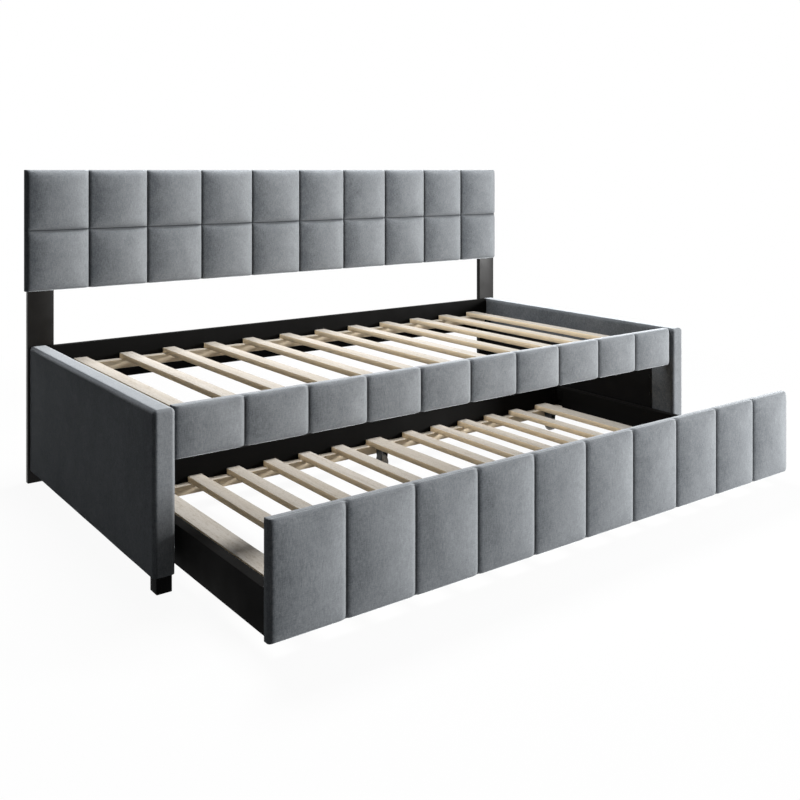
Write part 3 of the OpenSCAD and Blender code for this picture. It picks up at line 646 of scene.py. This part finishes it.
def make_upholstery():
    fronts = []
    for quilt in QUILTS:
        lo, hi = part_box(quilt["node"])
        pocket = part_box(quilt["board"])[0].y
        fronts.append((*quilted(quilt, lo, hi, lo.y + quilt["puff"], pocket), quilt, lo.y))
    inflate([(piece, held, quilt["cap"]) for piece, held, quilt, _ in fronts])
    for piece, _, quilt, front in fronts:
        settle_front(piece, front + MM, front + quilt["puff"])
        smooth_skin(piece)
        dress(piece, quilt["body"], [quilt["node"]])
    for side, sign in (("left", -1), ("right", 1)):
        make_side_panel(side, sign)


def make_side_panel(side, sign):
    """A side panel's cover: firm foam pulled over the board, a touch hollow along its stapled edges."""
    lo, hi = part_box(f"side_cover_{side}")
    panel = soft_block(f"side_velvet_{side}", lo, hi, PANEL_ROUND, VELVET, (3, 64, 24), 5, "+y-z")
    points = corners(panel)
    middle = (lo + hi) / 2
    out = (points[:, 0] - middle.x) / (hi.x - middle.x)
    along = np.clip(np.minimum(points[:, 1] - lo.y, hi.y - points[:, 1]) / 0.07, 0, 1)
    up = np.clip(np.minimum(points[:, 2] - lo.z, hi.z - points[:, 2]) / 0.06, 0, 1)
    slack = 1.0 * MM * (1.0 - along * up) + 0.5 * MM * (ripple(points, 0.16, 31 + sign) + 1.0)
    points[:, 0] -= np.sign(out) * np.abs(out) ** 3 * slack
    set_corners(panel, points)
    smooth_skin(panel)
    dress(panel, "daybed", [f"side_cover_{side}"])


# ---- boards and rails


def make_bars():
    """Sawn and painted members with eased edges, each in its solid's own place."""
    paint, saw = ("painted", "black_paint", 1.6 * MM), ("sawn", "pine", 1.2 * MM)
    members = [("daybed", paint, BLACK_SATIN, "post_left post_right"),
               ("daybed", paint, BLACK_PAINT, "front_foot_left front_foot_right back_rail"),
               ("trundle", paint, BLACK_PAINT, "trundle_rail_left trundle_rail_right trundle_back_rail"),
               ("daybed", saw, LEDGER_PINE, "front_ledger back_ledger"),
               ("trundle", saw, LEDGER_PINE, "trundle_front_ledger trundle_back_ledger")]
    for body, (done, slot, edge), finish, names in members:
        for name in names.split():
            dress(soft_block(f"{name}_{done}", *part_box(name), edge, finish), body, [name])


# ---- repeated parts, made by Geometry Nodes


def geometry_tree(name, inputs):
    return group("GeometryNodeTree", name, [("Geometry", SHAPE)] + inputs, [("Geometry", SHAPE)])


def grown(name, tree, points, values, attributes=None, faces=()):
    """Runs a Geometry Nodes tree on a cloud of points and returns the result as a plain mesh object."""
    cloud = bpy.data.meshes.new(f"{name}_points")
    cloud.from_pydata([tuple(map(float, p)) for p in points], [], list(faces))
    carrier = linked(f"{name}_carrier", cloud)
    for key, data in (attributes or {}).items():
        made = cloud.attributes.new(key, "FLOAT_VECTOR", "POINT")
        made.data.foreach_set("vector", np.ravel(data).astype(np.float32))
    grower = carrier.modifiers.new("grow", "NODES")
    grower.node_group = tree
    for item in tree.interface.items_tree:
        if item.in_out == "INPUT" and item.name in values:
            grower[item.identifier] = values[item.name]
    graph = bpy.context.evaluated_depsgraph_get()
    mesh = bpy.data.meshes.new_from_object(carrier.evaluated_get(graph), depsgraph=graph)
    mesh.name = name
    bpy.data.objects.remove(carrier)
    return linked(name, mesh)


def coated(tree, geometry, material, selection=True):
    return wire(tree, "GeometryNodeSetMaterial", {"Geometry": geometry, "Selection": selection,
                                                  "Material": material}).outputs[0]


def placed(tree, points, rotation, template, material):
    """The template set on each point, made real and given its finish."""
    shape = wire(tree, "GeometryNodeObjectInfo", {"Object": template}).outputs["Geometry"]
    laid = wire(tree, "GeometryNodeInstanceOnPoints", {"Points": points, "Rotation": rotation, "Instance": shape})
    real = wire(tree, "GeometryNodeRealizeInstances", {"Geometry": laid.outputs[0]})
    return coated(tree, real.outputs[0], material)


def aims(tree):
    """The way that each point's own piece faces."""
    return wire(tree, "GeometryNodeInputNamedAttribute", {"Name": "aim"}, data_type="FLOAT_VECTOR").outputs[0]


def slat_tree():
    """Slats laid from each point along +Y, with eased long edges and a little difference from one to the next."""
    tree, given, out = geometry_tree("Slats", [("Width", FLOAT), ("Thickness", FLOAT), ("Length", FLOAT),
                                               ("Edge", FLOAT), ("Seed", COUNT), ("Material", MATERIAL)])
    outline = wire(tree, "GeometryNodeCurvePrimitiveQuadrilateral", {0: given["Width"], 1: given["Thickness"]})
    eased = wire(tree, "GeometryNodeFilletCurve", {"Curve": outline.outputs[0], "Radius": given["Edge"]},
                 mode="POLY")
    eased.inputs["Count"].default_value = 2
    far = wire(tree, "ShaderNodeCombineXYZ", {"Y": given["Length"]})
    line = wire(tree, "GeometryNodeCurvePrimitiveLine", {"End": far.outputs[0]})
    cut = wire(tree, "GeometryNodeResampleCurve", {"Curve": line.outputs[0]})
    cut.inputs["Count"].default_value = 12
    bar = wire(tree, "GeometryNodeCurveToMesh", {"Curve": cut.outputs[0], "Profile Curve": eased.outputs[0],
                                                 "Fill Caps": True})
    laid = wire(tree, "GeometryNodeInstanceOnPoints", {"Points": given["Geometry"], "Instance": bar.outputs[0]})
    chance = wire(tree, "FunctionNodeRandomValue", {"Seed": given["Seed"]}, data_type="FLOAT")
    marked = wire(tree, "GeometryNodeStoreNamedAttribute", {"Geometry": laid.outputs[0], "Name": "piece"},
                  data_type="FLOAT", domain="INSTANCE")
    tree.links.new(live(chance.outputs), live(marked.inputs))
    real = wire(tree, "GeometryNodeRealizeInstances", {"Geometry": marked.outputs[0]})
    # Each slat bows by a fraction of a millimetre, its own way
    where = wire(tree, "GeometryNodeInputPosition").outputs[0]
    wander = wire(tree, "ShaderNodeTexNoise", {"Vector": where, "Scale": 3.0, "Detail": 1.0})
    drift = vector_math(tree, "SUBTRACT", wander.outputs["Color"], (0.5, 0.5, 0.5))
    small = vector_math(tree, "MULTIPLY", drift, (0.0016, 0.0, 0.0008))
    bowed = wire(tree, "GeometryNodeSetPosition", {"Geometry": real.outputs[0], "Offset": small})
    feed(tree, out, {"Geometry": coated(tree, bowed.outputs[0], given["Material"])})
    return tree


def make_slats():
    tree = slat_tree()
    rows = [("daybed_slats", "daybed", [f"slat_{k:02d}" for k in range(1, 13)], 11),
            ("trundle_wide_slats", "trundle", ["wide_slat_left", "wide_slat_middle", "wide_slat_right"], 23),
            ("trundle_slats", "trundle", ["trundle_slats_left", "trundle_slats_right"], 37)]
    for name, body, nodes, seed in rows:
        boxes = [(lo, hi) for node in nodes for lo, hi, _ in islands(node)]
        lo, hi = boxes[0]
        piece = grown(name, tree, [((lo.x + hi.x) / 2, lo.y, (lo.z + hi.z) / 2) for lo, hi in boxes],
                      {"Width": hi.x - lo.x, "Thickness": hi.z - lo.z, "Length": hi.y - lo.y, "Edge": 2 * MM,
                       "Seed": seed, "Material": SLAT_PINE})
        flat_sided(piece)
        dress(piece, body, nodes)


def flat_sided(piece):
    """Smooth shading on the eased edges and flat faces kept flat."""
    mesh = bmesh.new()
    mesh.from_mesh(piece.data)
    for face in mesh.faces:
        face.smooth = True
    for edge in mesh.edges:
        edge.smooth = len(edge.link_faces) == 2 and edge.calc_face_angle() < math.radians(40)
    mesh.to_mesh(piece.data)
    mesh.free()


def islands(node):
    """The box and the points of each of a CAD node's separate solids, from left to right."""
    mesh = bmesh.new()
    mesh.from_mesh(NODES[node].data)
    bmesh.ops.remove_doubles(mesh, verts=mesh.verts, dist=0.01 * MM)
    seen, found = set(), []
    for start in mesh.verts:
        stack, cloud = [start], []
        while stack:
            point = stack.pop()
            if point not in seen:
                seen.add(point)
                cloud.append(tuple(point.co))
                stack += [edge.other_vert(point) for edge in point.link_edges]
        if not cloud:
            continue
        cloud = np.array(cloud)
        found.append((Vector(cloud.min(axis=0)), Vector(cloud.max(axis=0)), cloud))
    mesh.free()
    found.sort(key=lambda box: (round(box[0].x, 4), round(box[0].y, 4), round(box[0].z, 4)))
    return found


def screw_template():
    """A countersunk screw's head with its cross recess and a short shank, pointing along -Z from its face."""
    head, shank, sides = 3.5 * MM, 2.0 * MM, 16
    reach, slot_w = 0.62 * head, 0.17 * head
    mesh = bmesh.new()
    turns = [2 * math.pi * k / sides for k in range(sides)]
    rings = [[mesh.verts.new((radius * math.cos(turn), radius * math.sin(turn), z)) for turn in turns]
             for radius, z in ((head, 0.0), (head, -0.35 * MM), (shank, -2.4 * MM), (shank, -9 * MM))]
    cross = [Matrix.Rotation(quarter * math.pi / 2, 3, "Z") @ Vector((x, y, 0)) for quarter in range(4)
             for x, y in ((reach, -slot_w), (reach, slot_w), (slot_w, slot_w))]
    top = [mesh.verts.new(p) for p in cross]
    floor = [mesh.verts.new((p.x * 0.8, p.y * 0.8, -1.3 * MM)) for p in cross]
    belts = [belt(a, b) for a, b in zip(rings[:-1], rings[1:])] + [belt(top, floor)]
    for corner_ring in [quad for made in belts for quad in made] + [rings[-1][::-1], floor]:
        mesh.faces.new(corner_ring)
    # The flat of the head, between the rim and the cross
    edges = [mesh.edges.get(pair) for ring in (rings[0], top) for pair in zip(ring, ring[1:] + ring[:1])]
    bmesh.ops.triangle_fill(mesh, edges=edges, use_beauty=True, normal=(0, 0, 1))
    bmesh.ops.recalc_face_normals(mesh, faces=mesh.faces)
    data = bpy.data.meshes.new("screw")
    mesh.to_mesh(data)
    mesh.free()
    return linked("screw", data)


def screw_tree():
    """The template on each point, turned to the point's own aim, with a chance twist."""
    tree, given, out = geometry_tree("Screws", [("Template", OBJECT), ("Seed", COUNT), ("Material", MATERIAL),
                                                ("Level Material", MATERIAL)])
    turned = wire(tree, "FunctionNodeAlignRotationToVector", {"Vector": aims(tree)}, axis="Z")
    chance = wire(tree, "FunctionNodeRandomValue", {"Seed": given["Seed"]}, data_type="FLOAT")
    live(chance.inputs, "Max").default_value = 2 * math.pi
    twist = wire(tree, "FunctionNodeAxisAngleToRotation", {"Axis": (0.0, 0.0, 1.0), "Angle": live(chance.outputs)})
    spun = wire(tree, "FunctionNodeRotateRotation", {"Rotation": turned.outputs[0], "Rotate By": twist.outputs[0]},
                rotation_space="LOCAL")
    plated = placed(tree, given["Geometry"], spun.outputs[0], given["Template"], given["Material"])
    rise = wire(tree, "ShaderNodeSeparateXYZ", {"Vector": aims(tree)}).outputs["Z"]
    is_level = math_node(tree, "LESS_THAN", math_node(tree, "ABSOLUTE", rise), 0.5)
    feed(tree, out, {"Geometry": coated(tree, plated, given["Level Material"], is_level)})
    return tree


def make_screws():
    """Plated screws down through the slats, and blackened ones level into the boards."""
    template = screw_template()
    tree = screw_tree()
    for node, body, seed in (("frame_screws", "daybed", 5), ("trundle_screws", "trundle", 8)):
        heads, ways = [], []
        for lo, hi, cloud in islands(node):
            # A screw lies along its longest side, and its head is at the end that is wider than a shank
            axis = int(np.argmax(hi - lo))
            near = cloud[:, axis] > hi[axis] - 0.3 * MM
            head_up = np.ptp(cloud[near], axis=0)[(axis + 1) % 3] > 5 * MM
            way, head = np.zeros(3), np.array((lo + hi) / 2)
            way[axis] = 1.0 if head_up else -1.0
            head[axis] = hi[axis] if head_up else lo[axis]
            heads.append(head)
            ways.append(way)
        piece = grown(f"{node}_plated", tree, heads,
                      {"Template": template, "Seed": seed, "Material": ZINC, "Level Material": BLACK_PAINT},
                      {"aim": ways})
        flat_sided(piece)
        dress(piece, body, [node])
    bpy.data.objects.remove(template)


# ---- cloth linings


def staple_tree():
    """Staples along the border of a cloth, driven flat, one every Spacing."""
    tree, given, out = geometry_tree("Staples", [("Template", OBJECT), ("Spacing", FLOAT), ("Material", MATERIAL)])
    path = wire(tree, "GeometryNodeMeshToCurve", {"Mesh": given["Geometry"]})
    marks = wire(tree, "GeometryNodeCurveToPoints", {"Curve": path.outputs[0], "Length": given["Spacing"]},
                 mode="LENGTH")
    turned = wire(tree, "FunctionNodeAlignRotationToVector", {"Vector": marks.outputs["Tangent"]}, axis="X")
    faced = wire(tree, "FunctionNodeAlignRotationToVector", {"Rotation": turned.outputs[0], "Vector": aims(tree)},
                 axis="Z", pivot_axis="X")
    feed(tree, out, {"Geometry": placed(tree, marks.outputs["Points"], faced.outputs[0], given["Template"],
                                        given["Material"])})
    return tree


def staple_template():
    """One staple: a crown of flat wire with its shoulders bent down into the board."""
    half, wire_r, rise, leg = 5.5 * MM, 0.45 * MM, 0.5 * MM, -0.6 * MM
    bends = [(-half, leg), (-half, rise * 0.6), (-half + 0.8 * MM, rise), (half - 0.8 * MM, rise),
             (half, rise * 0.6), (half, leg)]
    points, sides = [], 6
    for x, z in bends:
        lean = 0.0 if abs(x) < half else math.pi / 2 * (1 if x < 0 else -1)
        for k in range(sides):
            angle = 2 * math.pi * k / sides
            across, up = wire_r * math.cos(angle), wire_r * math.sin(angle)
            points.append((x - up * math.sin(lean), across, z + up * math.cos(lean)))
    rings = [list(range(k * sides, (k + 1) * sides)) for k in range(len(bends))]
    faces = [quad for a, b in zip(rings[1:], rings[:-1]) for quad in belt(a, b)] + [rings[0][::-1], rings[-1]]
    return new_piece("staple", points, faces, ZINC)


def pulled_cloth(name, lo, hi, axis, side, cells, seed):
    """A thin stretched cloth in its solid's box, with faint pulls from the staples on its open side."""
    cloth = soft_block(name, lo, hi, 0.3 * min(hi[axis] - lo[axis], 1 * MM), DUST_CLOTH, cells, 1)
    points = corners(cloth)
    front = (points[:, axis] - (lo[axis] + hi[axis]) / 2) * side > 0
    flat = [a for a in range(3) if a != axis]
    inside = np.minimum.reduce([np.minimum(points[:, a] - lo[a], hi[a] - points[:, a]) for a in flat])
    fade = np.clip(inside / 0.02, 0, 1)
    pulls = 0.30 * MM * (ripple(points, 0.09, seed) - 1.0) + 0.12 * MM * (ripple(points, 0.03, seed + 1) - 1.0)
    points[front, axis] += (side * pulls * fade)[front]
    set_corners(cloth, points)
    return cloth


def make_linings():
    """The headboard's back cloth and the panels' linings, each in a frame of staples."""
    tree, template = staple_tree(), staple_template()
    # After its name, the axis that a cloth faces along and which way
    jobs = [("headboard_back_cloth", 1, 1.0, "headboard_board", (60, 1, 20), 51, ZINC, "zinc"),
            ("side_lining_left", 0, 1.0, "side_board_left", (1, 44, 14), 61, BLACK_STEEL, "black_steel"),
            ("side_lining_right", 0, -1.0, "side_board_right", (1, 44, 14), 71, BLACK_STEEL, "black_steel")]
    for node, axis, side, board, cells, seed, plating, slot in jobs:
        lo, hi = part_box(node)
        cloth = pulled_cloth(f"{node}_cloth", lo, hi, axis, side, cells, seed)
        dress(cloth, "daybed", [node])
        a, b = [k for k in range(3) if k != axis]
        border, aim = np.zeros((4, 3)), np.zeros(3)
        aim[axis] = side
        border[:, axis] = (hi if side > 0 else lo)[axis]
        for k, far in ((a, (0, 1, 1, 0)), (b, (0, 0, 1, 1))):
            border[:, k] = np.take((lo[k] + STAPLE_INSET, hi[k] - STAPLE_INSET), far)
        staples = grown(f"{node}_staples", tree, border,
                        {"Template": template, "Spacing": STAPLE_SPACING, "Material": plating},
                        {"aim": [aim] * 4}, [(0, 1, 2, 3)])
        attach(staples, "daybed")
    bpy.data.objects.remove(template)


# ---- solids that keep their own shape


def finish_solids():
    finishes = {
        PLYWOOD: ["side_board_left", "side_board_right", "front_rail_board", "trundle_front_board"],
        BLACK_PAINT: ["headboard_board", "corner_brackets", "trundle_brackets"],
        BLACK_STEEL: ["headboard_plates", "caster_forks"],
        ZINC: ["frame_bolts", "caster_axles"],
        WHEEL_GREY: [n for n in NODES if n.startswith("wheel_")],
    }
    for material, names in finishes.items():
        for name in names:
            data = NODES[name].data
            data.materials.clear()
            data.materials.append(material)


# ---- floor, light and camera


def bare_tree(owner):
    owner.use_nodes = True
    owner.node_tree.nodes.clear()
    return owner.node_tree


def seen_directly(tree):
    """1 for the rays that show the background itself: the camera's, and those in bright metal."""
    rays = wire(tree, "ShaderNodeLightPath").outputs
    seen = math_node(tree, "MAXIMUM", rays["Is Camera Ray"], rays["Is Transmission Ray"])
    return math_node(tree, "MAXIMUM", seen, rays["Is Glossy Ray"])


def shared_out(tree, share, first, second):
    return wire(tree, "ShaderNodeMixShader", {0: share, 1: first.outputs[0], 2: second.outputs[0]})


def stage_material():
    """A floor that looks white and keeps the bed's soft shadow, and throws a little light back up."""
    material = bpy.data.materials.new("Pale studio floor")
    tree = bare_tree(material)
    place = wire(tree, "ShaderNodeTexCoord").outputs["Object"]
    tone = blend_colour(tree, noise(tree, place, 1.5, 3.0), rgb(0.82, 0.82, 0.82), rgb(0.86, 0.86, 0.86))
    pale = wire(tree, "ShaderNodeBsdfDiffuse", {"Color": tone})
    white = wire(tree, "ShaderNodeEmission", {"Color": rgb(1, 1, 1)})
    dull = wire(tree, "ShaderNodeBsdfDiffuse", {"Color": rgb(0.22, 0.22, 0.22)})
    away = wire(tree, "ShaderNodeVectorMath", {0: place}, operation="LENGTH").outputs["Value"]
    shown = shared_out(tree, remap(tree, away, 1.3, 3.0, 0.945, 1.0), pale, white)
    pick = shared_out(tree, seen_directly(tree), dull, shown)
    wire(tree, "ShaderNodeOutputMaterial", {"Surface": pick.outputs[0]})
    return material


def make_stage():
    size = 30.0
    floor = new_piece("floor", [(-size, -size, 0), (size, -size, 0), (size, size, 0), (-size, size, 0)],
                      [(0, 1, 2, 3)], stage_material(), smooth=False)
    SCENE.world = bpy.data.worlds.new("Studio")
    tree = bare_tree(SCENE.world)
    room = wire(tree, "ShaderNodeBackground", {"Color": rgb(0.92, 0.96, 1.0), "Strength": ROOM_LIGHT})
    white = wire(tree, "ShaderNodeBackground", {"Color": rgb(1, 1, 1)})
    pick = shared_out(tree, seen_directly(tree), room, white)
    wire(tree, "ShaderNodeOutputWorld", {"Surface": pick.outputs[0]})


def softbox(name, at, aim, size, power):
    lamp = bpy.data.lights.new(name, "AREA")
    lamp.shape = "RECTANGLE"
    lamp.size, lamp.size_y = size
    lamp.energy = power
    holder = linked(name, lamp)
    holder.location = at
    holder.rotation_euler = (Vector(aim) - Vector(at)).to_track_quat("-Z", "Y").to_euler()
    holder.visible_camera = False


def make_camera():
    lens = bpy.data.cameras.new("camera")
    lens.sensor_width = CAMERA_SENSOR
    lens.lens = CAMERA_LENS
    lens.shift_y = CAMERA_SHIFT
    eye = linked("camera", lens)
    eye.location = CAMERA_AT
    eye.rotation_euler = (math.radians(90.0), 0.0, math.radians(CAMERA_HEADING))
    SCENE.camera = eye


SCENE.view_settings.view_transform = "Standard"
make_camera()
make_upholstery()
make_bars()
make_slats()
make_screws()
make_linings()
finish_solids()
make_stage()
for name, placing in SOFTBOXES.items():
    softbox(name, *placing)
